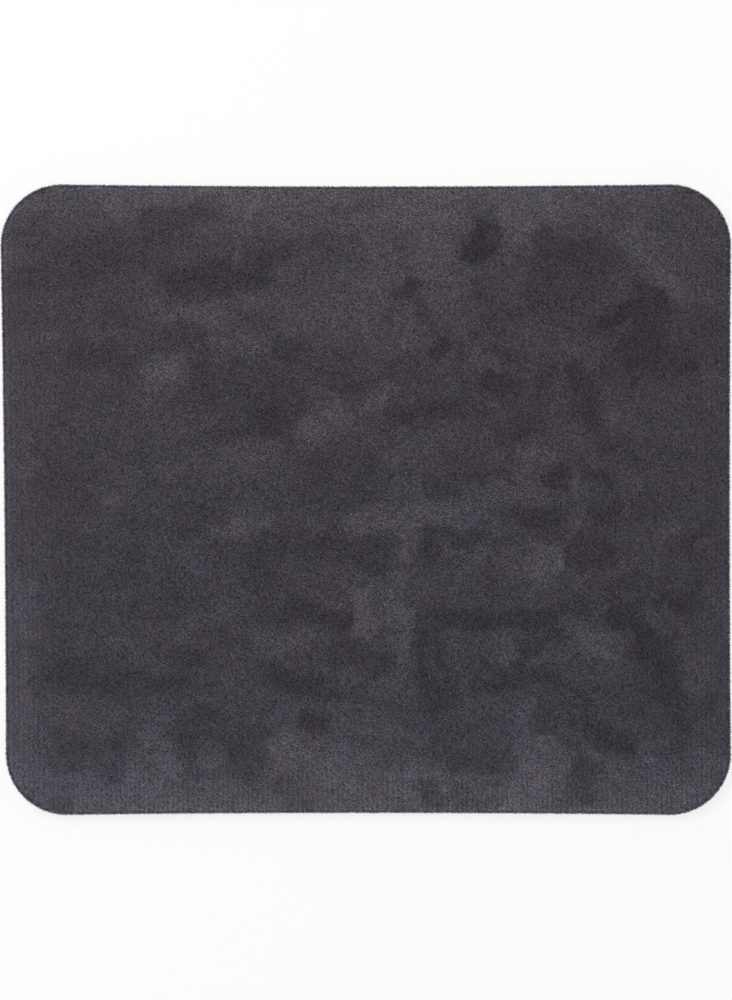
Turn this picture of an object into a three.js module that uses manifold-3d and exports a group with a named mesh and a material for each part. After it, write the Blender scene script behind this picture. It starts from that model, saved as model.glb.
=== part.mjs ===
// A mouse pad: a napped cloth face bonded to a sheet of foam rubber with a non-slip underside.
// Sizes are in millimetres. +X runs along the long side, +Y towards the rear and +Z up.
// The origin is the middle of the underside, where the pad lies on the desk.

import * as THREE from "three";
import Module from "manifold-3d";
import { mergeGeometries, mergeVertices } from "three/addons/utils/BufferGeometryUtils.js";

// Outline of the napped face, seen from above
const padWidth = 220;
const padDepth = 190;
const cornerRadius = 18.5;
const leftLean = 1.6; // the front left corner is cut this much further in than the rear left one
const longSideDraw = 0.6; // the front and rear sides draw in by this much at their middle
const shortSideDraw = 0.3; // and so do the left and right sides
const cornerSteps = 12;
const sideSteps = 6;

// Layers, from the desk up
const baseThickness = 2.5;
const filmThickness = 0.15;
const groundThickness = 0.45;
const pileHeight = 1.4;

// Edges
const pileSplay = 0.5; // the pile leans out past the cut edge of the layers under it
const splayHeight = 0.6; // height above the ground at which the pile leans out furthest
const pileRoll = 0.8; // width over which the top of the pile rounds off towards its edge
const rollSteps = 3;
const edgeHollow = 0.2; // the die leaves the foam's edge hollow by this much
const hollowSteps = 4;

// Rows of pile, which run from front to rear with a furrow between each two
const rowPitch = 1.5;
const furrowWidth = 0.6;
const furrowDepth = 0.3;

// Grooves in the underside, in two crossing directions, which leave a lattice of diamond-shaped lands
const gripPitch = 9;
const grooveWidth = 1.2;
const grooveDepth = 0.5;
const crossGrooveDepth = 0.42; // the second direction is pressed a little less deep
const grooveTurn = Math.PI / 4; // angle of the grooves to the sides

const cutterOverrun = 0.1; // a cutter stands out of the surface by this share of the depth that it cuts
const quarterTurn = Math.PI / 2;

const filmBottom = baseThickness;
const groundBottom = filmBottom + filmThickness;
const pileBottom = groundBottom + groundThickness;
const pileTop = pileBottom + pileHeight;

const wasm = await Module();
wasm.setup();

function toSolid(geometry) {
  const bare = geometry.clone();
  bare.deleteAttribute("normal");
  bare.deleteAttribute("uv");
  const merged = mergeVertices(bare);
  const vertProperties = merged.attributes.position.array;
  const triVerts = new Uint32Array(merged.index.array);
  return new wasm.Manifold(new wasm.Mesh({ numProp: 3, vertProperties, triVerts }));
}

function toGeometry(solid) {
  const { vertProperties, triVerts } = solid.getMesh();
  const geometry = new THREE.BufferGeometry();
  geometry.setAttribute("position", new THREE.BufferAttribute(vertProperties, 3));
  geometry.setIndex(new THREE.BufferAttribute(triVerts, 1));
  geometry.computeVertexNormals();
  return geometry;
}

// Points of the pad's outline, set in from it all round: four round corners, counterclockwise from the
// rear right one, each followed by the shallow curve of the side that leads to the next.
function outline(inset) {
  const x = padWidth / 2 - cornerRadius;
  const y = padDepth / 2 - cornerRadius;
  const radius = cornerRadius - inset;
  const centres = [[x, y], [-x, y], [leftLean - x, -y], [x, -y]];
  const corners = centres.map(([cx, cy], i) => {
    const start = i * quarterTurn;
    return new THREE.EllipseCurve(cx, cy, radius, radius, start, start + quarterTurn);
  });
  return corners.flatMap((corner, i) => {
    const from = corner.getPoint(1);
    const to = corners[(i + 1) % corners.length].getPoint(0);
    const draw = i % 2 ? shortSideDraw : longSideDraw;
    const inward = new THREE.Vector2(0, -2 * draw).rotateAround(new THREE.Vector2(), i * quarterTurn);
    const control = from.clone().lerp(to, 0.5).add(inward);
    const side = new THREE.QuadraticBezierCurve(from, control, to);
    return [...corner.getPoints(cornerSteps).slice(0, -1), ...side.getPoints(sideSteps).slice(0, -1)];
  });
}

// A layer of the pad: its outline carried up the profile of its edge, from the lowest ring to the highest.
function layer(profile) {
  const rings = profile.map(({ inset }) => outline(inset));
  const count = rings[0].length;
  const positions = rings.flatMap((ring, k) => ring.flatMap((p) => [p.x, p.y, profile[k].z]));
  const triangles = [];
  for (let k = 0; k + 1 < rings.length; k++) {
    for (let i = 0; i < count; i++) {
      const a = k * count + i;
      const b = k * count + ((i + 1) % count);
      triangles.push(a, b, b + count, a, b + count, a + count);
    }
  }
  const lastRing = (rings.length - 1) * count;
  THREE.ShapeUtils.triangulateShape(rings[0], []).forEach(([a, b, c]) => triangles.push(a, c, b));
  THREE.ShapeUtils.triangulateShape(rings.at(-1), []).forEach((face) => {
    triangles.push(...face.map((i) => lastRing + i));
  });
  const geometry = new THREE.BufferGeometry();
  geometry.setAttribute("position", new THREE.Float32BufferAttribute(positions, 3));
  geometry.setIndex(triangles);
  geometry.computeVertexNormals();
  return geometry;
}

// Straight V-shaped cutters along Y, side by side about the middle of the pad, as one geometry.
// They cut downwards from z = 0, with a ridge of uncut material on the centre line.
function vCutters({ pitch, width, depth, reachAcross, length }) {
  const halfTop = (width / 2) * (1 + cutterOverrun);
  const top = depth * cutterOverrun;
  const section = new THREE.Shape([
    new THREE.Vector2(0, -depth),
    new THREE.Vector2(halfTop, top),
    new THREE.Vector2(-halfTop, top),
  ]);
  const cutter = new THREE.ExtrudeGeometry(section, { depth: length, bevelEnabled: false });
  cutter.rotateX(quarterTurn);
  cutter.translate(0, length / 2, 0);
  const pairs = Math.floor(reachAcross / pitch + 0.5);
  const places = Array.from({ length: pairs }, (_, i) => (i + 0.5) * pitch).flatMap((x) => [x, -x]);
  return mergeGeometries(places.map((x) => cutter.clone().translate(x, 0, 0)));
}

// Foam rubber: a hollow die-cut edge all round, and a lattice of grooves that runs out through it.
function rubberBase() {
  const profile = Array.from({ length: hollowSteps + 1 }, (_, i) => {
    const rise = i / hollowSteps;
    return { inset: pileSplay + edgeHollow * 4 * rise * (1 - rise), z: baseThickness * rise };
  });
  const halfDiagonal = Math.hypot(padWidth, padDepth) / 2;
  const grooves = (depth, turn) => {
    const reach = { reachAcross: halfDiagonal, length: 2 * halfDiagonal };
    const cutters = vCutters({ pitch: gripPitch, width: grooveWidth, depth, ...reach });
    return toSolid(cutters.rotateY(Math.PI).rotateZ(turn));
  };
  const grooved = toSolid(layer(profile))
    .subtract(grooves(grooveDepth, grooveTurn))
    .subtract(grooves(crossGrooveDepth, -grooveTurn));
  return toGeometry(grooved);
}

// A thin flat layer, cut straight down in line with the foam.
function flatLayer(bottom, top) {
  return layer([{ inset: pileSplay, z: bottom }, { inset: pileSplay, z: top }]);
}

// Cut pile: it leans out from its foot, rounds off at the top, and is parted into rows by furrows.
function pile() {
  const roll = new THREE.EllipseCurve(
    pileRoll, pileBottom + splayHeight, pileRoll, pileHeight - splayHeight, Math.PI, quarterTurn, true,
  );
  const shoulder = roll.getPoints(rollSteps).slice(0, -1).map(({ x, y }) => ({ inset: x, z: y }));
  const profile = [{ inset: pileSplay, z: pileBottom }, ...shoulder, { inset: pileRoll, z: pileTop }];
  const furrows = vCutters({
    pitch: rowPitch,
    width: furrowWidth,
    depth: furrowDepth,
    reachAcross: padWidth / 2 - leftLean - shortSideDraw - pileRoll - furrowWidth,
    length: padDepth,
  }).translate(0, 0, pileTop);
  return toGeometry(toSolid(layer(profile)).subtract(toSolid(furrows)));
}

const pad = new THREE.Group();

function addPiece(name, geometry, look) {
  const material = new THREE.MeshStandardMaterial({ metalness: 0, flatShading: true, ...look });
  const piece = new THREE.Mesh(geometry, material);
  piece.name = name;
  pad.add(piece);
}

addPiece("rubber_base", rubberBase(), { color: 0x1f1e20, roughness: 0.85 });
addPiece("bond_film", flatLayer(filmBottom, groundBottom), { color: 0x2c2b2f, roughness: 0.45 });
addPiece("knit_ground", flatLayer(groundBottom, pileBottom), { color: 0x343138, roughness: 0.95 });
addPiece("pile", pile(), { color: 0x413d44, roughness: 1 });

export default pad;
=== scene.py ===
import math

import bmesh
import bpy
import numpy as np
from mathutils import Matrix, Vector


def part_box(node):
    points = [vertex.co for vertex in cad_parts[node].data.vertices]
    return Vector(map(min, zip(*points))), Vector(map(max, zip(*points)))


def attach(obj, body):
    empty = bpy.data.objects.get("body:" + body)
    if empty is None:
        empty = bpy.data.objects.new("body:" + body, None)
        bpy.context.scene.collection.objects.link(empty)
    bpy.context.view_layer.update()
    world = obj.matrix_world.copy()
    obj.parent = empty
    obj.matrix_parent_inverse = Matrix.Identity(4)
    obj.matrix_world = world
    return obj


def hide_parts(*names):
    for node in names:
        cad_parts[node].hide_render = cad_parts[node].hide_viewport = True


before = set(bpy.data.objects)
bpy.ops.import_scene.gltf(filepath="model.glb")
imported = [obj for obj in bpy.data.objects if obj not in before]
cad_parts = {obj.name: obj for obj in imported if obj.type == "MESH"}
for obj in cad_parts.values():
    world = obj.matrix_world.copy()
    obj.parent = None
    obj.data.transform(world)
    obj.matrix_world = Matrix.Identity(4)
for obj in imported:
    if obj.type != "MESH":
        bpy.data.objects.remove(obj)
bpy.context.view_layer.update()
scene = bpy.context.scene
scene.view_settings.view_transform = "Standard"
mm = 0.001  # sizes below are in millimetres, meshes in metres
mergeDistance = 0.002  # closer points of a mesh become one
leastLength = 1e-9  # keeps a divisor away from 0


# Heights of a layer's lower and upper face, in millimetres, from its CAD node.
def heights(node):
    low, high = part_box(node)
    return low.z / mm, high.z / mm


baseBottom, baseTop = heights("rubber_base")
filmBottom, filmTop = heights("bond_film")
groundBottom, groundTop = heights("knit_ground")
pileBottom, pileTop = heights("pile")

pileLow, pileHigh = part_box("pile")
halfWidth = (pileHigh.x - pileLow.x) / 2 / mm
halfDepth = (pileHigh.y - pileLow.y) / 2 / mm
cutLine = {
    "cornerRadius": 18.5,
    "longSideDraw": 0.6,  # by which the front and rear sides draw in
    "shortSideDraw": 0.3,
    "drawFade": 5,  # power by which that fades inwards
    "leftLean": 1.6,  # the front left corner is cut this much further in
    "leanFade": 30.0,
    "layerInset": 0.5,  # of the layers under the pile
}
cornerRadius = cutLine["cornerRadius"]
layerInset = cutLine["layerInset"]
coreX = halfWidth - cornerRadius
coreY = halfDepth - cornerRadius


# Distance from the cutting line, below 0 inside: how far |x| and |y| pass the corners' centres, less radius.
def fromCut(x, y):
    overX = np.abs(x) - coreX
    overY = np.abs(y) - coreY
    past = np.hypot(np.maximum(overX, 0), np.maximum(overY, 0))
    return past + np.minimum(np.maximum(overX, overY), 0) - cornerRadius


# Direction away from the middle: round the corner centre in a corner, else square to the nearest side.
def outwards(x, y):
    overX = np.abs(x) - coreX
    overY = np.abs(y) - coreY
    inCorner = (overX > 0) & (overY > 0)
    past = np.where(inCorner, np.hypot(overX, overY), 1)
    outX = np.where(inCorner, overX / past, overX > overY)
    outY = np.where(inCorner, overY / past, overX <= overY)
    return np.sign(x) * outX, np.sign(y) * outY


# A place or direction turned counterclockwise: x cos - y sin along X, x sin + y cos along Y.
def turned(x, y, angle):
    c, s = np.cos(angle), np.sin(angle)
    return x * c - y * s, x * s + y * c


# Where a plain rounded rectangle lies as cut: sides draw in as parabolas, and the left one leans in.
def asCut(x, y):
    alongX = np.clip(1 - (x / coreX) ** 2, 0, 1)
    alongY = np.clip(1 - (y / coreY) ** 2, 0, 1)
    towardsFront = np.clip((coreY - y) / (2 * coreY), 0, 1)
    towardsLeft = np.clip((cutLine["leanFade"] - coreX - x) / cutLine["leanFade"], 0, 1)
    drawnX = x - cutLine["shortSideDraw"] * alongY * (x / halfWidth) ** cutLine["drawFade"]
    drawnY = y - cutLine["longSideDraw"] * alongX * (y / halfDepth) ** cutLine["drawFade"]
    return drawnX + cutLine["leftLean"] * towardsFront * towardsLeft, drawnY


# Even points along the cutting line, set in, and the way outwards at each: straight sides and quarter circles
# in turn, counterclockwise from the right side.
def alongCut(count, inset):
    radius = cornerRadius - inset
    quarter = radius * math.pi / 2
    lengths = np.array([2 * coreY, quarter, 2 * coreX, quarter] * 2)
    ends = np.cumsum(lengths)
    run = np.arange(count) * ends[-1] / count
    part = np.searchsorted(ends, run, side="right")
    left = ends[part] - run
    corner = part // 2
    bends = part % 2 == 1
    turn = (corner + np.where(bends, 1 - left / lengths[part], 0)) * math.pi / 2
    outX, outY = np.cos(turn), np.sin(turn)
    left = np.where(bends, 0, left)
    x = coreX * np.array([1, -1, -1, 1])[corner] + radius * outX + left * outY
    y = coreY * np.array([1, 1, -1, -1])[corner] + radius * outY - left * outX
    return x, y, outX, outY


# Smooth step: 0 up to 0, 1 from 1 on, and share squared * (3 - 2 * share) between.
def smooth(share):
    share = np.clip(share, 0, 1)
    return share * share * (3 - 2 * share)


# A value part of the way from one to another.
def between(start, end, share):
    return start + (end - start) * share


# Blend of the four lattice values round a place, by its part of the way along X and along Y.
def blend(values, i, j, nextI, nextJ, partX, partY):
    front = between(values[i, j], values[nextI, j], partX)
    return between(front, between(values[i, nextJ], values[nextI, nextJ], partX), partY)


# Smooth noise from -1 to 1: random values on a square lattice, blended by smooth steps.
def softNoise(x, y, cell, seed):
    size = 256
    values = np.random.default_rng(seed).uniform(-1, 1, (size, size))
    cellX, cellY = np.floor(x / cell), np.floor(y / cell)
    stepX, stepY = smooth(x / cell - cellX), smooth(y / cell - cellY)
    i, j = cellX.astype(int) % size, cellY.astype(int) % size
    return blend(values, i, j, (i + 1) % size, (j + 1) % size, stepX, stepY)


# Noise of several sizes: the sum of soft noises, each with its own cell, share and seed.
def layeredNoise(x, y, cells, shares, seed):
    layers = enumerate(zip(cells, shares))
    return sum(share * softNoise(x, y, cell, seed + i) for i, (cell, share) in layers)


# A mesh from whole arrays: points in millimetres on the plain rounded rectangle, faces as arrays of equal
# corners. Where a sharpest angle is given, in degrees, double points are merged and steeper edges are sharp.
def addPiece(name, points, faceSets, material, attributes=None, bakePlaces=None, sharpest=None):
    mesh = bpy.data.meshes.new(name)
    corners = np.concatenate([faces.ravel() for faces in faceSets]).astype(np.int32)
    sizes = np.concatenate([np.full(len(faces), faces.shape[1]) for faces in faceSets])
    placed = np.array(points, float)
    placed[:, 0], placed[:, 1] = asCut(points[:, 0], points[:, 1])
    mesh.vertices.add(len(placed))
    mesh.vertices.foreach_set("co", (placed * mm).astype(np.float32).ravel())
    mesh.loops.add(len(corners))
    mesh.loops.foreach_set("vertex_index", corners)
    mesh.polygons.add(len(sizes))
    mesh.polygons.foreach_set("loop_start", (np.cumsum(sizes) - sizes).astype(np.int32))
    mesh.polygons.foreach_set("use_smooth", np.ones(len(sizes), bool))
    mesh.update(calc_edges=True)
    for key, values in (attributes or {}).items():
        mesh.attributes.new(key, "FLOAT", "POINT").data.foreach_set("value", values.astype(np.float32))
    if bakePlaces is not None:
        layer = mesh.uv_layers.new(name="OFBake")
        layer.data.foreach_set("uv", bakePlaces[corners].astype(np.float32).ravel())
    if sharpest is not None:
        work = bmesh.new()
        work.from_mesh(mesh)
        bmesh.ops.remove_doubles(work, verts=work.verts, dist=mergeDistance * mm)
        work.to_mesh(mesh)
        work.free()
        mesh.set_sharp_from_angle(angle=math.radians(sharpest))
    mesh.materials.append(material)
    piece = bpy.data.objects.new(name, mesh)
    scene.collection.objects.link(piece)
    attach(piece, "root")
    print(f"{name}: {len(mesh.vertices)} points, {len(mesh.polygons)} faces")
    return piece


# Quads between rings of points that follow each other upwards, counterclockwise seen from above.
def hoops(count, rings):
    ring = np.arange(count)
    after = (ring + 1) % count
    band = np.stack([ring, after, after + count, ring + count], -1)
    return (band[None] + (np.arange(rings - 1) * count)[:, None, None]).reshape(-1, 4)


# A ring of points at a level, each moved against its direction outwards.
def ringAt(x, y, outX, outY, inwards, level):
    return np.stack(np.broadcast_arrays(x - outX * inwards, y - outY * inwards, level), -1)


# A flat sheet, cut: a turned grid, where points outside are drawn back onto the cutting line, set in, and
# cells wholly outside are dropped. Gives the points, cells and rim.
def cutSheet(linesS, linesT, turn, inset):
    s, t = (grid.ravel() for grid in np.meshgrid(linesS, linesT, indexing="ij"))
    x, y = turned(s, t, turn)
    outside = fromCut(x, y) > -inset
    overX = np.maximum(np.abs(x) - coreX, 0)
    overY = np.maximum(np.abs(y) - coreY, 0)
    pull = (cornerRadius - inset) / np.maximum(np.hypot(overX, overY), leastLength)
    x = np.where(outside, np.sign(x) * (np.minimum(np.abs(x), coreX) + overX * pull), x)
    y = np.where(outside, np.sign(y) * (np.minimum(np.abs(y), coreY) + overY * pull), y)
    index = np.arange(len(s)).reshape(len(linesS), len(linesT))
    cells = np.stack([index[:-1, :-1], index[1:, :-1], index[1:, 1:], index[:-1, 1:]], -1).reshape(-1, 4)
    cells = cells[~outside[cells].all(1)]
    used, cells = np.unique(cells, return_inverse=True)
    cells = cells.reshape(-1, 4)
    x, y = x[used], y[used]
    rim = np.flatnonzero(outside[used])
    rim = rim[np.argsort(np.arctan2(y[rim], x[rim]))]
    return x, y, cells, rim


# A closed body from a cut sheet: its face, rings from the rim to the far side, and one flat face there.
def closeSheet(x, y, z, cells, rim, inset, rings, facesUp):
    out = outwards(x[rim], y[rim])
    loops = [np.stack([x, y, z], -1)]
    loops += [ringAt(x[rim], y[rim], *out, ringInset - inset, level) for ringInset, level in rings]
    count = len(rim)
    order = np.concatenate([rim, len(x) + np.arange(count * len(rings))])
    wall = order[hoops(count, len(rings) + 1)]
    cap = order[-count:][None]
    if facesUp:
        return np.concatenate(loops), [cells, wall[:, ::-1], cap[:, ::-1]]
    return np.concatenate(loops), [cells[:, ::-1], wall, cap]


# A thin slab: the cutting line carried up its edge, with a flat face below and above.
def slab(count, insets, levels):
    line = alongCut(count, 0)
    rings = [ringAt(*line, inset, level) for inset, level in zip(insets, levels)]
    first = np.arange(count)[None]
    last = first + count * (len(rings) - 1)
    return np.concatenate(rings), [hoops(count, len(rings)), first[:, ::-1], last]


# Inputs of a shader node: a socket of another node is linked, any other value is set.
def feed(tree, node, inputs):
    for key, value in inputs.items():
        if isinstance(value, bpy.types.NodeSocket):
            tree.links.new(value, node.inputs[key])
        else:
            node.inputs[key].default_value = value


# A shader node with its settings and its inputs.
def addNode(tree, kind, inputs=None, **settings):
    node = tree.nodes.new("ShaderNode" + kind)
    for key, value in settings.items():
        setattr(node, key, value)
    feed(tree, node, inputs or {})
    return node


# The result of an operation on numbers.
def addMath(tree, operation, *operands):
    return addNode(tree, "Math", dict(enumerate(operands)), operation=operation).outputs["Value"]


# A value carried in a straight line from start and end to low and high, and held there.
def addSpan(tree, value, start, end, low, high):
    spans = {"Value": value, "From Min": start, "From Max": end, "To Min": low, "To Max": high}
    return addNode(tree, "MapRange", spans).outputs["Result"]


# A mix of two colours, or their product.
def addMix(tree, share, first, second, **settings):
    inputs = {0: share, 6: first, 7: second}
    return addNode(tree, "Mix", inputs, data_type="RGBA", **settings).outputs[2]


# A colour from a value, between stops.
def addRamp(tree, value, stops):
    ramp = addNode(tree, "ValToRGB", {"Fac": value})
    for element, (position, colour) in zip(ramp.color_ramp.elements, stops):
        element.position = position
        element.color = colour
    return ramp.outputs["Color"]


# The place on the object itself.
def objectPlace(tree):
    return addNode(tree, "TexCoord").outputs["Object"]


# A smooth noise about one half.
def addNoise(tree, scale, detail):
    values = {"Vector": objectPlace(tree), "Scale": scale, "Detail": detail}
    return addNode(tree, "TexNoise", values).outputs["Fac"]


# A value that the mesh carries at its points.
def attributeOf(tree, name):
    return addNode(tree, "Attribute", attribute_name=name).outputs["Fac"]


# A node group with numbers for inputs, and outputs by name and kind.
def startGroup(name, inputs, outputs):
    tree = bpy.data.node_groups.new(name, "ShaderNodeTree")
    for label in inputs:
        tree.interface.new_socket(label, in_out="INPUT", socket_type="NodeSocketFloat")
    for label, kind in outputs.items():
        tree.interface.new_socket(label, in_out="OUTPUT", socket_type=kind)
    return tree, tree.nodes.new("NodeGroupInput").outputs, tree.nodes.new("NodeGroupOutput")


# A material and its shader, with constants.
def startMaterial(name, values):
    material = bpy.data.materials.new(name)
    material.use_nodes = True
    tree = material.node_tree
    shader = tree.nodes["Principled BSDF"]
    feed(tree, shader, values)
    return material, tree, shader


napLook = {
    "plain": (0.1429, 0.1259, 0.1610, 1),
    # painted sheen and shade: the step lightens or darkens the colour by nap, and by tint
    "step": (1.473, 1.5, 1.451),  # less in red and blue, so that light pile is greyer
    "rootShade": 0.5, "bluer": (0.85, 1.0, 1.05, 1), "redder": (1.15, 1.0, 0.95, 1),
}


# Tone of the pile: the plain colour, times the step to the power of nap and tint, where nap paints sheen on
# laid pile and shade on brushed-up pile, times a painted shade that rises from the roots, at reach 0, to the
# tips, at
# 1, times a yarn between bluer, at dye -1, and redder, at 1.
def makeNapToneAndShade():
    floats = ("Nap", "Tint", "Reach", "Dye")
    tree, given, result = startGroup("napToneAndShade", floats, {"Color": "NodeSocketColor"})
    steps = addMath(tree, "ADD", given["Nap"], given["Tint"])
    lighter = addNode(tree, "VectorMath", {0: napLook["step"], 1: steps}, operation="POWER")
    shade = addSpan(tree, given["Reach"], 0, 1, napLook["rootShade"], 1)
    scaled = {0: lighter.outputs["Vector"], "Scale": shade}
    rooted = addNode(tree, "VectorMath", scaled, operation="SCALE")
    yarn = addMix(tree, addSpan(tree, given["Dye"], -1, 1, 0, 1), napLook["bluer"], napLook["redder"])
    dyed = addMix(tree, 1, yarn, napLook["plain"], blend_type="MULTIPLY")
    lit = {0: rooted.outputs["Vector"], 1: dyed}
    tone = addNode(tree, "VectorMath", lit, operation="MULTIPLY")
    feed(tree, result, {"Color": tone.outputs["Vector"]})
    return tree


grainLook = {
    "detail": 3.0, "wideScale": 0.2, "wideDetail": 2.0, "wideSpan": (0.3, 0.7),
}


# Fine grain: a noise for height and, from a second and coarser noise, a value from Low to High.
def makeFineGrain():
    numbers = {"Height": "NodeSocketFloat", "Value": "NodeSocketFloat"}
    tree, given, result = startGroup("fineGrain", ("Scale", "Low", "High"), numbers)
    fine = addNoise(tree, given["Scale"], grainLook["detail"])
    scale = addMath(tree, "MULTIPLY", given["Scale"], grainLook["wideScale"])
    wide = addNoise(tree, scale, grainLook["wideDetail"])
    value = addSpan(tree, wide, *grainLook["wideSpan"], given["Low"], given["High"])
    feed(tree, result, {"Height": fine, "Value": value})
    return tree


napToneAndShade = makeNapToneAndShade()
fineGrain = makeFineGrain()


# Colour of pile from inputs of the tone group.
def addTone(tree, inputs):
    return addNode(tree, "Group", inputs, node_tree=napToneAndShade).outputs["Color"]


# The nap, reach and dye that a mesh carries, as inputs of the tone group.
def carried(tree):
    return {key: attributeOf(tree, key.lower()) for key in ("Nap", "Reach", "Dye")}


pileLook = {
    "surface": {"Roughness": 0.9, "Specular IOR Level": 0.15, "Sheen Weight": 0.05, "Sheen Roughness": 0.5},
    "fibreScale": 3200.0, "fibreDetail": 2.0, "fibreSpan": (0.44, 0.56), "fibreShades": (-3.6, 1.1),
}


# Cut pile: tone from the values of each tuft, with a noise that paints light on the fibres and shade in the
# gaps between them.
def makePileCloth():
    material, tree, shader = startMaterial("pileCloth", pileLook["surface"])
    noise = addNoise(tree, pileLook["fibreScale"], pileLook["fibreDetail"])
    fibreShading = addSpan(tree, noise, *pileLook["fibreSpan"], *pileLook["fibreShades"])
    tint = addMath(tree, "ADD", attributeOf(tree, "tint"), fibreShading)
    feed(tree, shader, {"Base Color": addTone(tree, {**carried(tree), "Tint": tint})})
    return material


footLook = {
    "gloss": 0.15,
    "grain": (3000.0, 0.85, 1.0),  # scale, least and most roughness
    "bump": (0.6, 0.0002),  # strength, and distance in metres
}


# A grained material: the grain gives its roughness and, through a function of its own, its colour and bump.
def makeGrained(name, look, colourOf):
    material, tree, shader = startMaterial(name, {"Specular IOR Level": look["gloss"]})
    values = dict(zip(("Scale", "Low", "High"), look["grain"]))
    grain = addNode(tree, "Group", values, node_tree=fineGrain).outputs
    colour, height = colourOf(tree, grain["Height"])
    values = dict(zip(("Strength", "Distance", "Height"), (*look["bump"], height)))
    normal = addNode(tree, "Bump", values).outputs["Normal"]
    feed(tree, shader, {"Base Color": colour, "Roughness": grain["Value"], "Normal": normal})
    return material


# Matted pile: tone from its own values, tinted by the grain.
def footColour(tree, height):
    return addTone(tree, {**carried(tree), "Tint": height}), height


groundLook = {
    "gloss": 0.2, "grain": (5000.0, 0.8, 0.95), "bump": (0.8, 0.0002),
    "waves": {"X": 419.0, "Y": 419.0, "Z": 700.0},  # scales: 419 gives one loop in 0.75 mm
    "wave": {"Distortion": 1.5, "Detail": 1.0},
    "contrast": 1.5, "base": -4.2, "reach": 0.6,
}


# Knitted ground: loops from the sum of a wave along each side, one up the edge and a fibrous grain, with
# painted light on their crowns and painted shade between them.
def groundColour(tree, height):
    for axis, scale in groundLook["waves"].items():
        values = {"Vector": objectPlace(tree), "Scale": scale, **groundLook["wave"]}
        wave = addNode(tree, "TexWave", values, bands_direction=axis)
        height = addMath(tree, "ADD", wave.outputs["Fac"], height)
    tint = addMath(tree, "MULTIPLY_ADD", height, groundLook["contrast"], groundLook["base"])
    return addTone(tree, {"Tint": tint, "Reach": groundLook["reach"]}), height


filmLook = {
    "skin": ((0, (0.018, 0.0175, 0.02, 1)), (1, (0.034, 0.033, 0.037, 1))), "gloss": 0.4,
    "grain": (900.0, 0.35, 0.6), "bump": (0.3, 0.00005),
}


# Bond film: smooth and dark, paler on the heights of the grain.
def filmColour(tree, height):
    return addRamp(tree, height, filmLook["skin"]), height


foamLook = {
    "skin": ((0.3, (0.0110, 0.0105, 0.0115, 1)), (0.75, (0.0330, 0.0320, 0.0345, 1))),
    # pore: painted shade inside the pores
    "pore": (0.0035, 0.0034, 0.0036, 1),
    # scale, and distances from a pore's middle where its wall starts and ends
    "pores": ((1300.0, 0.08, 0.3), (3400.0, 0.05, 0.34)), "gloss": 0.35,
    "grain": (2200.0, 0.72, 0.95), "bump": (0.9, 0.00015),
}


# Foam rubber: open pores of two sizes, from the distance to scattered points, painted dark as the shade in
# them, in a mottled near-black skin.
def foamColour(tree, height):
    walls = []
    for scale, start, end in foamLook["pores"]:
        pores = addNode(tree, "TexVoronoi", {"Vector": objectPlace(tree), "Scale": scale})
        walls.append(addSpan(tree, pores.outputs["Distance"], start, end, 0, 1))
    wall = addMath(tree, "MULTIPLY", *walls)
    colour = addMix(tree, wall, foamLook["pore"], addRamp(tree, height, foamLook["skin"]))
    return colour, addMath(tree, "MULTIPLY", height, wall)


foamBase = {
    "pitch": 9.0, "turn": math.pi / 4, "grooveWidth": 1.2, "grooveLines": 5, "landLines": 7,
    "depth": 0.5, "crossDepth": 0.42, "hollow": 1.2, "edgeHollow": 0.2, "edgeRings": 7,
    "edgeRough": 0.04, "roughCell": 0.9,
    "roughShifts": (7, 5),  # along X and Y, for each millimetre up
    "roughSeed": 11, "sharpest": 50, "fill": 0.9,
}


# Depth of a groove family: 1 at its middle, easing to 0 at half its width, repeated at the pitch.
def grooveShare(s):
    turns = s / foamBase["pitch"]
    off = np.abs(turns - np.round(turns - 0.5) - 0.5) * foamBase["pitch"]
    return np.clip(1 - 2 * off / foamBase["grooveWidth"], 0, 1) ** foamBase["hollow"]


# Foam base: two crossing families of V-shaped grooves, the deeper one taken where they meet, which run out
# through a die-cut edge that is hollow as a parabola and slightly rough.
def makeFoamBase():
    own = foamBase
    pitch, half, turn = own["pitch"], own["grooveWidth"] / 2, own["turn"]
    reach = math.ceil(math.hypot(halfWidth, halfDepth) / pitch) + 1
    groove = np.linspace(-half, half, own["grooveLines"])
    land = np.linspace(half, pitch - half, own["landLines"] + 2)[1:-1]
    lines = (pitch * (np.arange(-reach, reach)[:, None] + 0.5) + np.append(groove, land)).ravel()
    x, y, cells, rim = cutSheet(lines, lines, turn, layerInset)
    across, along = (grooveShare(s) for s in turned(x, y, -turn))
    z = baseBottom + np.maximum(own["depth"] * along, own["crossDepth"] * across)
    shiftX, shiftY = own["roughShifts"]
    rings = []
    for share in np.arange(1, own["edgeRings"] + 1) / own["edgeRings"]:
        level = between(z[rim], baseTop, share)
        rise = (level - baseBottom) / (baseTop - baseBottom)
        noiseX, noiseY = x[rim] + shiftX * level, y[rim] + shiftY * level
        noise = softNoise(noiseX, noiseY, own["roughCell"], own["roughSeed"])
        rough = own["edgeRough"] * noise * (share < 1)
        rings.append((layerInset + own["edgeHollow"] * 4 * rise * (1 - rise) + rough, level))
    points, faces = closeSheet(x, y, z, cells, rim, layerInset, rings, False)
    rubber = makeGrained("foamRubber", foamLook, foamColour)
    piece = addPiece("foamBase", points, faces, rubber, sharpest=own["sharpest"])
    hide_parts("rubber_base")


bondFilm = {
    "count": 1200,
    "shares": (0, 0.3, 0.7, 1),  # heights of the rings
    "bulge": 0.04, "uneven": 0.05, "unevenCell": 4.0, "seed": 21, "sharpest": 60,
}


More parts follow.
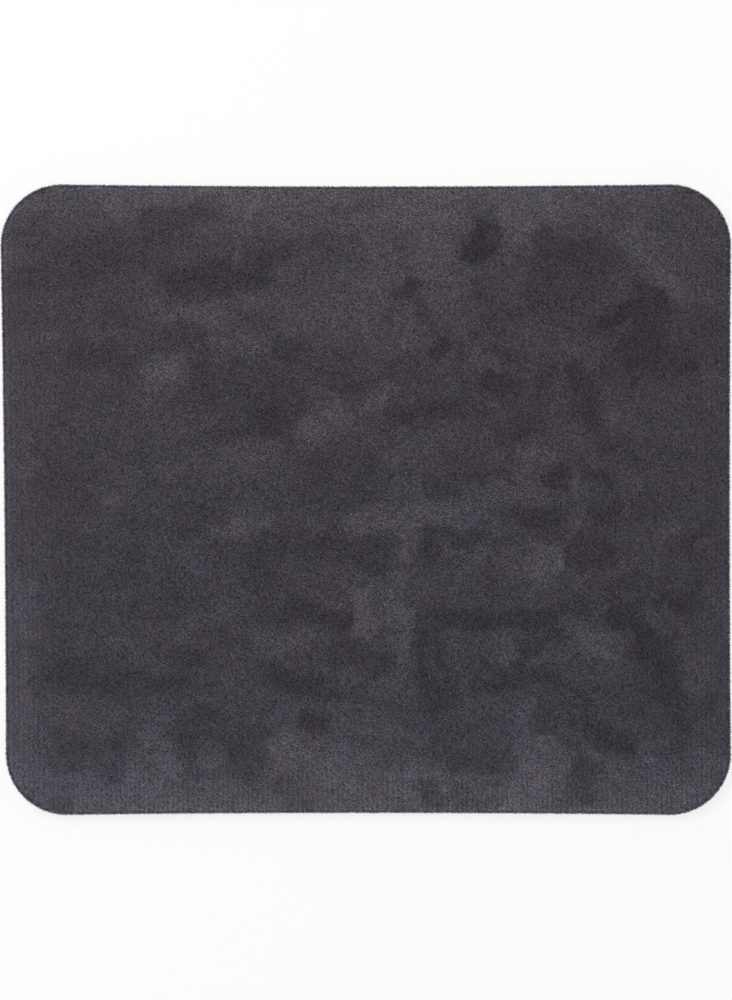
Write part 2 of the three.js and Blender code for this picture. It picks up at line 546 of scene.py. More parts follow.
# Bond film: its edge swells a little between the layers and is uneven along its length.
def makeFilm():
    own = bondFilm
    count = own["count"]
    shares = np.array(own["shares"])
    x, y, _, _ = alongCut(count, 0)
    uneven = own["uneven"] * softNoise(x, y, own["unevenCell"], own["seed"])
    insets = [layerInset + uneven * (0 < s < 1) - own["bulge"] * 4 * s * (1 - s) for s in shares]
    points, faces = slab(count, insets, between(filmBottom, filmTop, shares))
    plastic = makeGrained("bondFilm", filmLook, filmColour)
    piece = addPiece("bondFilm", points, faces, plastic, sharpest=own["sharpest"])
    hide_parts("bond_film")
    return piece


groundCloth = {
    "count": 6400, "shares": (0, 0.2, 0.5, 0.8, 1), "loopPitch": 0.75, "loopBulge": 0.13,
    "between": 0.04,  # how far the edge draws in between two loops
    "sharpest": 60,
}


# Knitted ground: its cut edge swells in a loop at each half row, fullest half way up.
def makeGround():
    own = groundCloth
    count = own["count"]
    shares = np.array(own["shares"])
    x, y, outX, outY = alongCut(count, 0)
    run = np.where(np.abs(outY) > np.abs(outX), x, y)
    loop = own["loopBulge"] * (0.5 + 0.5 * np.cos(2 * math.pi * run / own["loopPitch"]))
    insets = [layerInset - (loop - own["between"]) * 4 * s * (1 - s) for s in shares]
    points, faces = slab(count, insets, between(groundBottom, groundTop, shares))
    knit = makeGrained("groundCloth", groundLook, groundColour)
    piece = addPiece("groundCloth", points, faces, knit, sharpest=own["sharpest"])
    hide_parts("knit_ground")
    return piece


# Strokes of hands and a mouse, each laid over those before it, in millimetres from the middle of the pad:
# place, length, width, turn in degrees from +X, tone, below 0 where the pile is brushed up and above 0 where
# it is laid flat, painted as shade and sheen, and the width over which the sides of the stroke fade.
brushMarks = [
    # rear left
    (-82, 73, 46, 14, 12, -0.42, 3), (-105, 58, 16, 9, 85, -0.35, 2.1), (-101, 87, 24, 16, 45, -0.4, 4.2),
    (-102, 67, 10, 9, 0, -0.35, 2.1), (-61, 84, 17, 9, 20, -0.7, 2.1), (-50, 87, 12, 6, 12, -0.8, 1.8),
    (-56, 79.5, 9, 4, 0, -0.4, 1.4), (-51, 66.5, 24, 8.5, 18, -0.85, 2.1), (-36, 67, 18, 9, 12, -0.6, 2.4),
    (-28, 73, 13, 4.5, 18, -0.7, 1.8), (-14, 81.5, 34, 6, 8, 0.3, 2.1), (-55, 57, 28, 8, -8, 0.45, 2.1),
    (-38, 48, 20, 7, -5, 0.45, 2.1), (-51, 46, 9, 7, -60, -0.45, 2.1), (-60, 46.5, 18, 5, 0, -0.4, 1.8),
    (-60.5, 37.5, 16, 9, 8, 0.6, 1.8), (-37, 34, 34, 14, -15, -0.35, 4.2), (-26, 25, 18, 7, 12, -0.6, 1.8),
    (-35, 19.5, 20, 5.5, 12, -0.65, 1.8), (-43, 16.5, 6, 4, 20, -0.4, 1.4),
    (-23.5, 45.5, 10, 8, -30, -0.6, 2.1), (-12, 23, 16, 9, 30, 0.65, 2.1), (-19, 16, 8, 2.5, -60, 0.4, 1.4),
    (-36, 13, 20, 9, 0, 0.4, 2.8), (-8, 8, 24, 16, 0, -0.35, 4.2), (-90, 5, 20, 12, -30, -0.35, 4.2),
    (-12, 60, 34, 24, 0, 0.35, 4.2),
    # rear right
    (14, 71, 34, 34, 0, 0.5, 5.6), (88, 90, 30, 14, -8, -0.3, 4.2), (35, 77, 13, 9, 65, -1.2, 1.8),
    (40, 79, 6, 6, 0, -0.5, 1.8), (49, 83, 18, 16, 10, 0.55, 2.1), (60, 72, 24, 16, -15, -0.5, 3),
    (71, 75, 14, 9, -58, -0.5, 1.5), (84, 74, 22, 9, -52, 0.4, 1.4), (60, 62, 24, 14, 0, -0.35, 4.2),
    (91, 66, 10, 8, -30, 0.5, 2.1), (80, 57, 21, 5, 28, -1.3, 1.4), (85, 56, 12, 8, 35, -0.7, 1.8),
    (84, 62, 8, 4, -45, -0.6, 1.4), (84, 45, 15, 12, 20, -0.75, 2.1), (94, 43, 8, 8, 0, -0.5, 2.1),
    (97, 40, 7, 4, 10, -1.0, 1), (81, 36, 9, 5, 40, -0.6, 1.8), (13.5, 63, 6, 4, 70, -0.7, 1.3),
    (10, 61.5, 4, 3.5, 0, -0.5, 1), (17, 58, 7, 3.5, -45, -0.45, 1.4), (25, 55, 16, 4, -50, 0.45, 1.4),
    (32, 48, 6, 2.5, -65, -0.5, 1), (34, 64, 9, 4, -60, -0.4, 1.8), (22.5, 44.5, 7, 5, 45, -0.75, 1.3),
    (35.5, 42, 9, 6, -40, 0.5, 1.3), (41, 35, 13, 7, -15, -0.85, 1.5), (54, 36, 8, 6, 40, -0.6, 1.8),
    (42, 44, 12, 4, -35, -0.45, 1.8), (65, 36, 12, 6, -60, -0.75, 2.1), (67, 26, 16, 8, -80, -0.6, 2.8),
    (74, 17, 14, 4, -35, -0.4, 2.1), (25, 27, 23, 5, -3, -0.65, 1.8), (11, 25, 8, 6, 20, -0.7, 1.8),
    (36, 25, 8, 5, 0, -0.4, 2.1), (48, 20.5, 9, 5, 20, -0.85, 1.4), (52, 27, 10, 6, 85, -0.5, 2.1),
    (48.5, 12, 10, 4.5, 85, 0.55, 1.4), (43, 25, 12, 8, 40, -0.45, 2.1), (58, 6, 8, 7, -40, -0.95, 1.4),
    (70, 7, 12, 4, -8, -0.7, 1.4), (63, 4, 8, 1.5, 75, 0.5, 0.7), (66, 2, 8, 1.5, 70, 0.4, 0.7),
    (36, 7.5, 13, 3.5, 12, -0.6, 1.4), (22, 3, 12, 7, 0, -0.45, 2.1), (7, 36, 10, 5, 55, -0.5, 1.8),
    (4, 31, 14, 5, 45, 0.4, 1.8), (42, 3, 14, 5, 15, 0.5, 1.4), (49.5, 1.5, 11, 6, 0, 0.5, 1.4),
    (13, 3, 10, 8, 0, 0.4, 2.1),
    # front left
    (-42, -10, 13, 4.5, 8, 0.65, 1.4), (-34, -6, 14, 7, -10, 0.55, 2.1), (-38, -17, 14, 7, 10, -0.35, 2.8),
    (-29, -14, 8, 5, -20, -0.45, 2.1), (-12, -14, 18, 8, 0, -0.45, 2.8), (-3, -15, 12, 7, 0, -0.45, 2.8),
    (-31, -25, 12, 8, -30, -0.45, 2.1), (-70, -17.5, 6, 5.5, 45, -0.45, 1.3),
    (-9, -37, 12, 6, -8, -0.8, 1.5), (-19, -33, 10, 6, -20, -0.55, 2.1), (-26, -43, 16, 9, 10, 0.45, 2.1),
    (-15, -41, 10, 6, 0, 0.45, 2.1), (-5, -46, 12, 7, 10, -0.45, 2.1), (-22, -55, 16, 7, -15, -0.5, 2.4),
    (-14.5, -66.5, 11, 5, -5, -0.75, 1.4), (-36, -76, 14, 12, 85, -0.6, 2.1),
    (-38, -83, 8, 4, 0, -0.55, 1.8), (-53, -77, 15, 6, -80, -0.55, 2.1), (-46, -67, 13, 9, -30, -0.45, 2.4),
    (-24, -76, 12, 11, 30, 0.55, 1.8), (-10, -79, 16, 14, 0, 0.35, 2.1), (0, -67, 24, 11, 5, 0.3, 2.8),
    (-23, -88, 10, 7, -40, -0.7, 1.4), (-17, -92, 6, 4, -50, -0.6, 1.4), (-85, -76, 24, 12, 0, -0.4, 2.8),
    (-105, -52, 56, 9, 88, 0.3, 4.2), (-77, -82, 8, 6, -30, -0.45, 1.8), (-94, -92, 8, 5, 0, -0.7, 1.4),
    (-82, -53, 34, 10, -5, -0.4, 3.5), (-60, -56, 16, 7, 0, -0.3, 2.8), (-88, -22, 22, 14, 80, -0.3, 4.2),
    (-65, -70, 10, 12, 0, 0.35, 2.1), (-88, -65, 30, 8, -5, 0.3, 2.8), (-2, -6.5, 7, 6, 85, 0.55, 1.4),
    (5, -30, 18, 14, 88, 0.4, 2.1), (-1, -35, 16, 5, 85, 0.6, 1.4),
    # front right
    (14, -4, 26, 8, 0, 0.6, 1.8), (30, -4, 12, 6, 20, 0.45, 1.8), (12.5, -13, 14, 5, 85, 0.55, 1.4),
    (18, -27, 5, 3, -30, 0.35, 1.4), (3, -18, 10, 9, 60, -0.55, 2.1), (19.5, -14.5, 9, 6.5, 70, -0.55, 1.5),
    (31, -11, 12, 4, 5, -0.5, 1.8), (53, -6, 14, 6, -8, -0.75, 1.8), (44, -3, 8, 4, 20, -0.55, 1.8),
    (47, -18, 12, 11, 0, 0.35, 2.1), (54, -18, 11, 10, 88, 0.65, 1.4), (53, -25, 6, 5, 0, 0.55, 1.4),
    (68, -15, 14, 12, -60, -0.5, 2.1), (73, -4, 12, 8, 30, -0.5, 2.1), (66, -17, 6, 6, 0, -0.35, 1.4),
    (64, -5, 12, 2, 75, 0.45, 0.8), (77, -26, 12, 5, 30, -0.45, 1.8), (92, -26.5, 24, 6, 0, -0.45, 2.1),
    (96, -31, 15, 5, -12, -1.05, 1.4), (98, -34, 6, 5, 0, -0.55, 1.4), (80, -38, 18, 8, -45, -0.8, 2.1),
    (87, -48, 16, 10, -55, -0.9, 2.1), (85, -54, 12, 8, -60, -0.4, 2.1), (91, -55, 13, 7, -65, -0.75, 1.8),
    (87, -36, 12, 3, -45, 0.35, 1), (28, -36, 28, 6, -2, -0.8, 1.8), (49, -36, 18, 5.5, 3, -0.8, 1.8),
    (63, -33, 10, 5, 10, -0.45, 2.1), (19, -47, 26, 8, -76, -0.55, 2.1), (57, -40, 7, 4, -60, -0.55, 1.4),
    (70, -43, 15, 10, -20, 0.5, 2.1), (21.5, -56, 15, 9, -60, -0.75, 2.1), (37, -55, 14, 6, 0, -0.65, 2.1),
    (50, -54, 14, 6, -3, -0.65, 1.8), (30, -51, 20, 6, 0, -0.3, 2.8), (11, -43, 22, 4, 85, 0.6, 1.4),
    (5, -56, 10, 6, 0, 0.45, 1.8), (4, -49, 10, 7, 60, -0.6, 1.8), (48, -65, 11, 5, 80, 0.4, 1.8),
    (72, -71, 18, 7, -25, -0.8, 1.8), (67, -64, 9, 6, -50, -0.5, 1.8), (59, -67, 12, 3, -10, -0.4, 1.4),
    (52, -78, 16, 14, 88, 0.5, 2.1), (34, -79, 20, 7, 5, -0.5, 2.1), (22, -75, 9, 6, 88, -0.45, 1.8),
    (65.5, -87, 16, 10, 88, -0.75, 1.4), (19, -89, 10, 7, -60, -0.7, 1.4), (33, -92, 14, 5, 0, -0.6, 1.4),
    (48, -88, 14, 11, 10, 0.3, 2.8), (103, -71, 18, 10, 80, 0.3, 2.8), (103.5, -60, 10, 4, 75, -0.6, 1.3),
    (85, -75, 8, 7, 88, 0.4, 1.4), (90, -76, 6, 4, 20, -0.35, 1.4), (104, -5, 10, 6, 70, -0.45, 1.8),
    (98, -12, 12, 4.5, 45, -0.55, 1.4), (101, -19, 14, 5, -55, -0.45, 1.8), (105, -40, 44, 9, 88, 0.05, 3.5),
    (100, -50, 20, 8, 70, 0.3, 2.1),
    # along the right and the front edge
    (109.7, 5, 180, 2.4, -90, 0.5, 0.8), (0, -94.7, 210, 2.4, 0, 0.3, 0.8),
]
napField = {
    "cell": 0.4, "margin": 1.0,
    "strays": (1.3, 0.8),  # of a stroke's edges, in wide and narrow waves
    "strayCells": (5.0, 1.8), "straySeeds": (61, 71), "cloudCells": (14.0, 5.0, 2.0),
    "cloudTones": (0.12, 0.16, 0.12), "cloudSeed": 33, "cloudTurn": -15.0,
    "cloudStretch": 1.7,  # by which they are combed out along their turn
    "rimTones": (1.1, 1.6, 0.5, 0.1),  # at the rear, front, left and right edge
    "rimWidths": (11.5, 16.0, 11.0, 10.0),
    "bend": 0.25,  # corner radius, as a share of a stroke's shorter side
    "startShare": 0.25,  # part of a stroke's length over which it starts
    "streakTone": 0.2, "streakCell": 1.1, "streakStretch": 6.0, "streakSeed": 55,
    "flow": -15.0,  # direction in which the pile leans, and how far it drifts
    "flowDrift": 45.0, "flowCell": 26.0, "flowSeed": 42,
    "follow": 0.7,  # how far the pile turns along a stroke
}
looseStrokes = {
    "count": 340, "lengths": (8.0, 30.0), "widths": (2.5, 9.0), "fades": (0.5, 1.6),
    "turnSpread": 38.0, "tones": (-0.38, 0.38), "seed": 23,
}
yarnDrift = {
    "rear": 0.23,  # redder towards the rear, bluer towards the front
    "rearSlope": 2.5, "rearShift": 0.3, "cells": (22.0, 6.0, 1.3), "shares": (0.16, 0.18, 0.48),
    "seed": 91, "spread": 1.3,
}


# Yarn at a place, from -1, bluer, to 1, redder: a drift from front to rear and three sizes of noise.
def dyeAt(x, y):
    drift = yarnDrift["rear"] * np.tanh(yarnDrift["rearSlope"] * y / halfDepth + yarnDrift["rearShift"])
    return drift + layeredNoise(x, y, yarnDrift["cells"], yarnDrift["shares"], yarnDrift["seed"])


# Faint strokes anywhere on the pad, most of them near the flow, with the same seven values each.
def makeLooseStrokes():
    rng = np.random.default_rng(looseStrokes["seed"])
    count = looseStrokes["count"]
    spans = (-halfWidth, halfWidth), (-halfDepth, halfDepth), looseStrokes["lengths"], looseStrokes["widths"]
    values = [rng.uniform(*span, count) for span in spans]
    values.append(rng.normal(napField["flow"], looseStrokes["turnSpread"], count))
    values += [rng.uniform(*looseStrokes[key], count) for key in ("tones", "fades")]
    return np.stack(values, -1).tolist()


# Nap and lay of the pile on a grid: a bell curve along each edge and combed clouds, then each stroke, a box
# with round corners that strays with noise, laid over what was there with a soft start and streaks along it.
def makeNapMap():
    own = napField
    reachX, reachY = halfWidth + own["margin"], halfDepth + own["margin"]
    linesX = np.arange(-reachX, reachX, own["cell"])
    linesY = np.arange(-reachY, reachY, own["cell"])
    x, y = np.meshgrid(linesX, linesY, indexing="ij")
    seedX, seedY = own["straySeeds"]
    strayX = x + layeredNoise(x, y, own["strayCells"], own["strays"], seedX)
    strayY = y + layeredNoise(x, y, own["strayCells"], own["strays"], seedY)
    plain = np.zeros_like(x)
    gaps = (halfDepth - strayY, halfDepth + strayY, halfWidth + strayX, halfWidth - strayX)
    for gap, tone, width in zip(gaps, own["rimTones"], own["rimWidths"]):
        plain += tone * np.exp(-((gap / width) ** 2))
    combedX, combedY = turned(x, y, -math.radians(own["cloudTurn"]))
    combedX /= own["cloudStretch"]
    plain += layeredNoise(combedX, combedY, own["cloudCells"], own["cloudTones"], own["cloudSeed"])
    nap = plain.copy()
    lay = own["flow"] + own["flowDrift"] * softNoise(x, y, own["flowCell"], own["flowSeed"])
    for markX, markY, length, width, turn, tone, fade in makeLooseStrokes() + brushMarks:
        reach = math.hypot(length, width) / 2 + fade + sum(own["strays"])
        i = slice(*np.searchsorted(linesX, (markX - reach, markX + reach)))
        j = slice(*np.searchsorted(linesY, (markY - reach, markY + reach)))
        along, across = turned(strayX[i, j] - markX, strayY[i, j] - markY, -math.radians(turn))
        bend = min(length, width) * own["bend"]
        overAlong = np.abs(along) - length / 2 + bend
        overAcross = np.abs(across) - width / 2 + bend
        gap = np.hypot(np.maximum(overAlong, 0), np.maximum(overAcross, 0)) - bend
        gap += np.minimum(np.maximum(overAlong, overAcross), 0)
        share = smooth(0.5 - gap / (2 * fade))
        share *= smooth((along + length / 2 + fade) / (own["startShare"] * length))
        combed = along / own["streakStretch"] + markX
        streak = softNoise(combed, across + markY, own["streakCell"], own["streakSeed"])
        nap[i, j] += (plain[i, j] + tone + own["streakTone"] * streak - nap[i, j]) * share
        lay[i, j] += (turn - lay[i, j]) * share * own["follow"]
    return {"x": linesX[0], "y": linesY[0], "nap": nap, "lay": lay}


napMap = makeNapMap()
print(f"nap laid on a grid of {napMap['nap'].shape}")


# A value of the nap map at a place, blended between the four points of the grid round it.
def fromMap(key, x, y):
    i, j = (x - napMap["x"]) / napField["cell"], (y - napMap["y"]) / napField["cell"]
    lowI, lowJ = i.astype(int), j.astype(int)
    return blend(napMap[key], lowI, lowJ, lowI + 1, lowJ + 1, i - lowI, j - lowJ)


pileBed = {
    "rowPitch": 1.5, "rows": 147,
    "inRow": (-0.5, -0.3, 0.0, 0.3),  # lines across a row, as shares of the pitch
    "lineStep": 1.6,
    "lineEnds": (2.5, 2.0),  # from the front and the rear edge
    "rimLines": (-0.5, 0.1, 0.35, 0.8),  # further lines along both, from the rim inwards
    "rimInset": 0.7, "rimHeight": 0.45, "tuck": 0.03, "tuckLevel": 0.5,
    "topDrop": 0.55,  # from the tips down to the matted part
    "furrowDepth": 0.24, "furrowStart": 0.25,
    "middle": 16.0,  # width over which rows give way to brushed nap
    "rearRows": 0.34,  # what is left of them at the rear and the front edge
    "frontRows": 0.9, "roll": 1.0,
    # painted shade: the matted part is darkened, the more the lower its reach
    "reach": 0.21,  # of the matted part, from the roots to the tips
    "sharpest": 80,
}
rowPitch = pileBed["rowPitch"]


# How far a place is into a furrow: 0 on the crest of a row, 1 in the middle between two.
def furrowShare(x):
    off = np.abs(x / rowPitch - np.round(x / rowPitch))
    return np.clip((off - pileBed["furrowStart"]) / (0.5 - pileBed["furrowStart"]), 0, 1)


# Share of the rows brushed away: 1 less what is left at the edge, which goes from the rear to the front share
# by the cube of y, times a bell curve of the distance from the edge.
def brushedAt(x, y):
    left = between(pileBed["rearRows"], pileBed["frontRows"], 0.5 - 0.5 * (y / halfDepth) ** 3)
    return 1 - left * np.exp(-((fromCut(x, y) / pileBed["middle"]) ** 2))


# Height of the matted part: a quarter round up from the rim, less the furrows that are left.
def bedHeight(x, y):
    low = pileBottom + pileBed["rimHeight"]
    inside = np.clip((-fromCut(x, y) - pileBed["rimInset"]) / pileBed["roll"], 0, 1)
    shoulder = np.sqrt(1 - (1 - inside) ** 2)
    furrow = pileBed["furrowDepth"] * furrowShare(x) * (1 - brushedAt(x, y))
    return low + (pileTop - pileBed["topDrop"] - low - furrow) * shoulder


# Matted pile: its height on lines along and across the rows, closed down to the ground. It carries painted
# shade, deeper in the furrows, which reach less.
def makePileBed():
    own = pileBed
    rows = np.arange(own["rows"] + 1) - own["rows"] // 2
    linesS = ((rows[:, None] + np.array(own["inRow"])) * rowPitch).ravel()
    start, end = own["lineEnds"]
    near = halfDepth - own["rimInset"] - np.array(own["rimLines"])
    plain = np.arange(start - halfDepth, halfDepth - end, own["lineStep"])
    linesT = np.sort(np.concatenate([plain, near, -near]))
    x, y, cells, rim = cutSheet(linesS, linesT, 0, own["rimInset"])
    rings = [
        (own["rimInset"] + own["tuck"], pileBottom + own["tuckLevel"] * own["rimHeight"]),
        (layerInset, pileBottom),
    ]
    points, faces = closeSheet(x, y, bedHeight(x, y), cells, rim, own["rimInset"], rings, True)
    x, y = points[:, 0], points[:, 1]
    reach = own["reach"] * (1 - furrowShare(x) * (1 - brushedAt(x, y)))
    shades = {"nap": fromMap("nap", x, y), "reach": reach, "dye": dyeAt(x, y)}
    matted = makeGrained("pileFoot", footLook, footColour)
    piece = addPiece("pileBed", points, faces, matted, shades, sharpest=own["sharpest"])
    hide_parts("pile")
    return piece


# Tufts as four-point spikes: three foot points round the root, spun at random, and a tip along the axis.
def spikes(rng, root, axis, length, width):
    spin = rng.uniform(0, 2 * math.pi, len(root))
    feet = spin[:, None] + np.arange(3) * 2 * math.pi / 3
    ring = np.stack([np.cos(feet), np.sin(feet), np.zeros_like(feet)], -1) * (width / 2)[:, None, None]
    tip = root + axis * length[:, None]
    return np.concatenate([root[:, None] + ring, tip[:, None]], 1)


# Tufts that stand in the matted part, sunk a little and uneven in width.
def standing(rng, own, x, y, axis, length):
    root = np.stack([x, y, bedHeight(x, y) - own["sunk"]], -1)
    return spikes(rng, root, axis, length, own["width"] * rng.uniform(*own["widthShares"], x.shape))


tuftCell = ((0.06, 0.06), (0.94, 0.06), (0.5, 0.94), (0.5, 0.36))  # its feet and tip in the colour map


# A piece of tufts: foot faces first, then three sides each. Reach, which sets the painted shade towards the
# roots, is 1 at the tips and as given at the roots.
def addTufts(name, points, nap, tint, dye, roots, material):
    count = len(points)
    reach = np.ones((count, 4))
    reach[:, :3] = np.reshape(roots, (-1, 1))
    first = np.arange(count)[:, None] * 4
    feet = first + np.array([0, 2, 1])
    sides = (first[:, None] + np.array([[0, 1, 3], [1, 2, 3], [2, 0, 3]])).reshape(-1, 3)
    across = math.ceil(math.sqrt(count))
    cell = np.stack([np.arange(count) % across, np.arange(count) // across], -1)
    places = ((cell[:, None] + np.array(tuftCell)) / across).reshape(-1, 2)
    attributes = {key: np.repeat(values, 4) for key, values in (("nap", nap), ("tint", tint), ("dye", dye))}
    attributes["reach"] = reach.ravel()
    piece = addPiece(name, points.reshape(-1, 3), [feet, sides], material, attributes, places)
    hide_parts("pile")
    return piece


pileRows = {
    "columns": (-0.6, -0.3, 0.0, 0.3, 0.6), "step": 0.42, "jitter": 0.1, "brushedJitter": 0.2,
    "rimGap": 0.1,  # from the rim of the matted part
    "width": 0.4, "widthShares": (0.8, 1.2), "length": 0.85, "lengthSpread": 0.16,
    "lengths": (0.4, 1.15), "sunk": 0.15, "uprightLean": 14.0, "laidLean": 52.0,
    "rowLean": 0.3,  # of the lean, where the rows stand
    "leanSpread": 14.0, "leastRise": 0.05, "flowSpread": 28.0, "edgeWidth": 2.0, "edgeLean": 36.0,
    "edgeShade": 0.5,
    # edgeRoots: how far the painted shade of the roots is lost at the edge
    "edgeRoots": 0.6,  # how far the dark of the roots is lost at the edge
    "edgeShort": 0.15,  # tufts at the edge are shorter by this share
    "tintSpread": 0.4,
    "tintSkew": 0.25,  # dark tints spread more and light ones less by this share
    "frontSpread": 1.0,  # and all more in front, not at all at the rear
    "furrowShade": 0.3, "lintShare": 0.0015, "lintTint": 3.5, "bands": 7, "seed": 41,
}


# Rows of tufts: columns across each row and a step along it, jittered. The nap sets how far they lean, less
# where the rows stand, and the lay which way. At the edge they lean outwards.
def makePileRows(material):
    own = pileRows
    rng = np.random.default_rng(own["seed"])
    rows = (np.arange(pileBed["rows"]) - pileBed["rows"] // 2) * rowPitch
    columns = (rows[:, None] + np.array(own["columns"])).ravel()
    steps = np.arange(-halfDepth, halfDepth, own["step"])
    x, y = np.meshgrid(columns, steps, indexing="ij")
    y = y + own["step"] * rng.uniform(0, 1, (len(columns), 1))
    x, y = x.ravel(), y.ravel()
    brushed = brushedAt(x, y)
    x = x + rng.normal(0, 1, x.shape) * between(own["jitter"], own["brushedJitter"], brushed)
    y = y + rng.normal(0, own["jitter"], y.shape)
    keep = fromCut(x, y) < -(pileBed["rimInset"] + own["rimGap"])
    x, y, brushed = x[keep], y[keep], brushed[keep]
    nap = fromMap("nap", x, y)
    laid = np.clip(0.5 + 0.5 * nap, 0, 1) * between(own["rowLean"], 1, brushed)
    lean = between(own["uprightLean"], own["laidLean"], laid)
    lean = np.radians(lean + rng.normal(0, own["leanSpread"], x.shape))
    flow = np.radians(fromMap("lay", x, y) + rng.normal(0, own["flowSpread"], x.shape))
    outX, outY = outwards(x, y)
    edge = np.clip(1 + fromCut(x, y) / own["edgeWidth"], 0, 1)
    splay = math.sin(math.radians(own["edgeLean"]))
    leanX = between(np.sin(lean) * np.cos(flow), outX * splay, edge)
    leanY = between(np.sin(lean) * np.sin(flow), outY * splay, edge)
    rise = np.sqrt(np.maximum(1 - leanX**2 - leanY**2, own["leastRise"]))
    axis = np.stack([leanX, leanY, rise], -1)
    length = own["length"] + rng.normal(0, own["lengthSpread"], x.shape)
    length = np.clip(length, *own["lengths"]) * (1 - own["edgeShort"] * edge)
    spread = own["tintSpread"] * (1 - own["frontSpread"] * y / halfDepth)
    tint = rng.normal(0, 1, x.shape)
    tint = tint * spread * (1 - own["tintSkew"] * np.sign(tint)) - own["edgeShade"] * edge
    tint -= own["furrowShade"] * furrowShare(x) * (1 - brushed)
    tint = np.where(rng.uniform(0, 1, x.shape) < own["lintShare"], own["lintTint"], tint)
    dye = dyeAt(x, y) + rng.normal(0, yarnDrift["spread"], x.shape)
    roots = own["edgeRoots"] * edge
    points = standing(rng, own, x, y, axis, length)
    pieces = []
    for i, part in enumerate(np.array_split(np.arange(len(x)), own["bands"])):
        values = (every[part] for every in (points, nap, tint, dye, roots))
        pieces.append(addTufts(f"pileRows_{i + 1}", *values, material))
    return pieces


pileEdge = {
    "count": 5200,
    "levels": (0.05, 0.24, 0.43, 0.62),  # heights above the foot of the pile
    "insets": (0.58, 0.78, 0.78, 0.86), "lengths": (0.55, 0.75, 0.8, 0.85),
    # painted light: the edge tufts are tinted lighter, more at the higher levels
    "rises": (-18.0, 2.0, 21.0, 40.0), "tints": (0.1, 0.5, 1.0, 1.1), "levelSpread": 0.04,
    "riseSpread": 12.0, "swing": 20.0, "lengthSpread": 0.13, "shortest": 0.25, "width": 0.34,
    "napShare": 0.6, "roots": 0.5, "tintSpread": 0.9, "seed": 51,
}


# Edge tufts: along the rim at a few levels, pointing outwards, from down at the lowest to up at the highest.
def makePileEdge(material):
    own = pileEdge
    rng = np.random.default_rng(own["seed"])
    rims = [alongCut(own["count"], inset) for inset in own["insets"]]
    x, y, outX, outY = (np.concatenate(values) for values in zip(*rims))
    byLevel = (np.repeat(own[key], own["count"]) for key in ("levels", "lengths", "rises", "tints"))
    level, length, rise, tint = byLevel
    rise = np.radians(rise + rng.normal(0, own["riseSpread"], x.shape))
    swing = np.radians(rng.normal(0, own["swing"], x.shape))
    flatX, flatY = turned(outX, outY, swing)
    axis = np.stack([flatX * np.cos(rise), flatY * np.cos(rise), np.sin(rise)], -1)
    height = pileBottom + level + rng.normal(0, own["levelSpread"], x.shape)
    length = np.maximum(length + rng.normal(0, own["lengthSpread"], x.shape), own["shortest"])
    width = np.full(x.shape, own["width"])
    points = spikes(rng, np.stack([x, y, height], -1), axis, length, width)
    tint = tint + rng.normal(0, own["tintSpread"], x.shape)
    dye = dyeAt(x, y) + rng.normal(0, yarnDrift["spread"], x.shape)
    nap = own["napShare"] * fromMap("nap", x, y)
    return addTufts("pileEdge", points, nap, tint, dye, own["roots"], material)


pileHairs = {
    "count": 48000,
    "rowShare": 0.2,  # of the hairs, where the rows stand
    "rim": 1.5, "length": 1.55, "lengthSpread": 0.3, "lengths": (0.7, 2.2), "width": 0.22,
    "widthShares": (0.7, 1.3), "lean": 66.0, "leanSpread": 7.0, "steepest": 54.0,
    "flowSpread": 26.0, "tint": 1.2, "tintSpread": 0.5, "sunk": 0.05, "roots": 0.0, "seed": 81,
}


# Loose hairs that lie on the tufts, combed one way or the other along the flow.
def makePileHairs(material):
    own = pileHairs
    rng = np.random.default_rng(own["seed"])
    x = rng.uniform(-halfWidth, halfWidth, own["count"])
    y = rng.uniform(-halfDepth, halfDepth, own["count"])
    kept = rng.uniform(0, 1, x.shape) < between(own["rowShare"], 1, brushedAt(x, y))
    keep = (fromCut(x, y) < -own["rim"]) & kept
    x, y = x[keep], y[keep]
    lean = rng.normal(own["lean"], own["leanSpread"], x.shape)
    lean = np.radians(np.maximum(lean, own["steepest"]))
    turn = rng.normal(0, own["flowSpread"], x.shape) + 180 * rng.integers(0, 2, x.shape)
    flow = np.radians(fromMap("lay", x, y) + turn)
    axis = np.stack([np.sin(lean) * np.cos(flow), np.sin(lean) * np.sin(flow), np.cos(lean)], -1)
    length = np.clip(rng.normal(own["length"], own["lengthSpread"], x.shape), *own["lengths"])
    points = standing(rng, own, x, y, axis, length)
    tint = rng.normal(own["tint"], own["tintSpread"], x.shape)
    dye = dyeAt(x, y) + rng.normal(0, yarnDrift["spread"], x.shape)
    return addTufts("pileHairs", points, fromMap("nap", x, y), tint, dye, own["roots"], material)


cameraView = {
    "lens": 150.0, "sensor": 36.0,
    "frameHeight": 300.6,  # what the picture's long side takes in at the top of the pile
    "middle": (0.1, -0.1),
}


# Camera: straight above the pad, as far away as lens / sensor times the height of the frame.
def makeCamera():
    own = cameraView
    data = bpy.data.cameras.new("overhead")
    data.lens = own["lens"]
    data.sensor_width = own["sensor"]
    data.dof.use_dof = False
    camera = bpy.data.objects.new("overhead", data)
    distance = own["frameHeight"] * own["lens"] / own["sensor"]
    x, y = own["middle"]
    camera.location = (x * mm, y * mm, (pileTop + distance) * mm)
    scene.collection.objects.link(camera)
    scene.camera = camera


studio = {
    "floorHalf": 3000.0, "floorDrop": 0.05,
    "floor": {"Base Color": (0.97, 0.97, 0.97, 1), "Roughness": 0.9, "Specular IOR Level": 0.0},
    "whiteShare": 0.8,  # how white the camera sees the floor by the pad
    "whiteFrom": 180.0,  # from where to where it turns all white
    "whiteTo": 450.0, "skyLight": 0.5, "keyLevel": 0.5, "keyPlace": (-420.0, 380.0, 900.0),
    "keySize": 700.0,
}


# 1 for a ray from the camera or one that a shiny or clear surface passes on, else 0.
def seenByCamera(tree):
    path = addNode(tree, "LightPath").outputs
    first = addMath(tree, "MAXIMUM", path["Is Camera Ray"], path["Is Glossy Ray"])
    return addMath(tree, "MAXIMUM", first, path["Is Transmission Ray"])


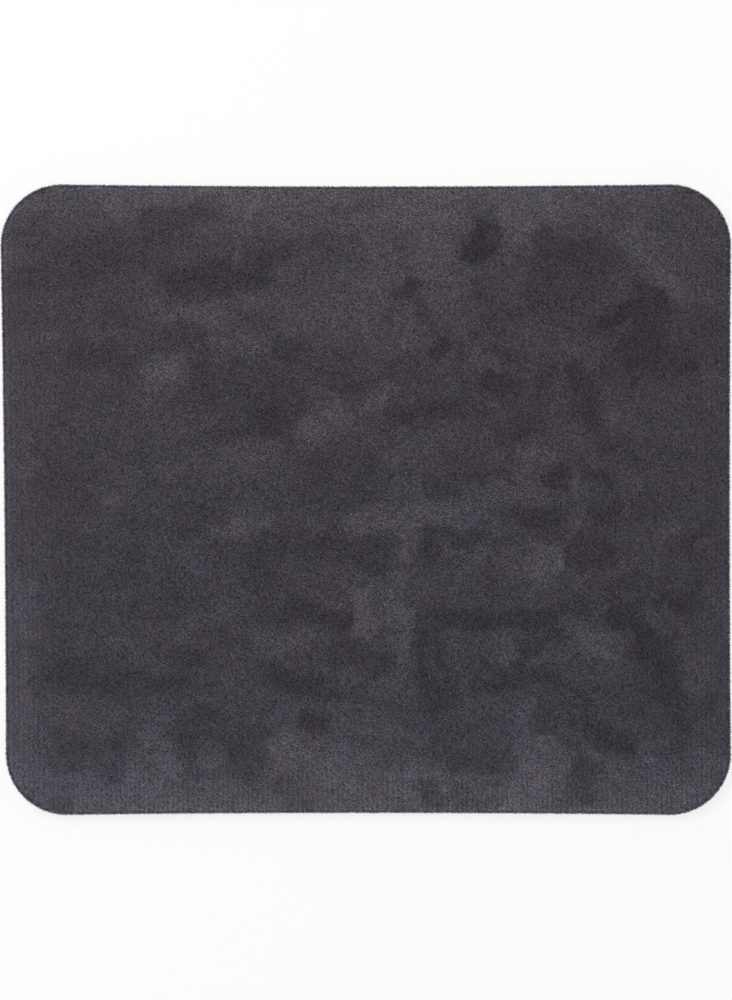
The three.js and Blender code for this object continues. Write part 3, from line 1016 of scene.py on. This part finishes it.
# Floor: a pale square that the camera sees nearly white by the pad and all white further away.
def makeFloor():
    half = studio["floorHalf"] * mm
    drop = -studio["floorDrop"] * mm
    mesh = bpy.data.meshes.new("floor")
    corners = [(-half, -half, drop), (half, -half, drop), (half, half, drop), (-half, half, drop)]
    mesh.from_pydata(corners, [], [(0, 1, 2, 3)])
    floor = bpy.data.objects.new("floor", mesh)
    scene.collection.objects.link(floor)
    material, tree, shader = startMaterial("floor", studio["floor"])
    away = addNode(tree, "VectorMath", {0: objectPlace(tree)}, operation="LENGTH").outputs["Value"]
    whiter = addSpan(tree, away, studio["whiteFrom"] * mm, studio["whiteTo"] * mm, studio["whiteShare"], 1)
    share = addMath(tree, "MULTIPLY", whiter, seenByCamera(tree))
    white = addNode(tree, "Emission", {"Strength": 1.0})
    shaders = {0: share, 1: shader.outputs["BSDF"], 2: white.outputs["Emission"]}
    mix = addNode(tree, "MixShader", shaders)
    feed(tree, tree.nodes["Material Output"], {"Surface": mix.outputs["Shader"]})
    mesh.materials.append(material)


# Light: an even sky, white to the camera, and a square lamp, which lights a level surface by
# power * cosine / (pi * distance) ** 2.
def makeLight():
    world = scene.world or bpy.data.worlds.new("studio")
    scene.world = world
    world.use_nodes = True
    tree = world.node_tree
    level = addSpan(tree, seenByCamera(tree), 0, 1, studio["skyLight"], 1)
    feed(tree, tree.nodes["Background"], {"Color": (1, 1, 1, 1), "Strength": level})
    place = Vector(studio["keyPlace"]) * mm
    lamp = bpy.data.lights.new("key", "AREA")
    lamp.size = studio["keySize"] * mm
    lamp.energy = studio["keyLevel"] * (math.pi * place.length) ** 2 * place.length / place.z
    key = bpy.data.objects.new("key", lamp)
    key.location = place
    key.rotation_euler = (-place).to_track_quat("-Z", "Y").to_euler()
    scene.collection.objects.link(key)


makeCamera()
makeFloor()
makeLight()
print("camera, floor and light in place")
makeFoamBase()
film = makeFilm()
ground = makeGround()
bed = makePileBed()
pileCloth = makePileCloth()
tufts = makePileRows(pileCloth) + [makePileHairs(pileCloth), makePileEdge(pileCloth)]
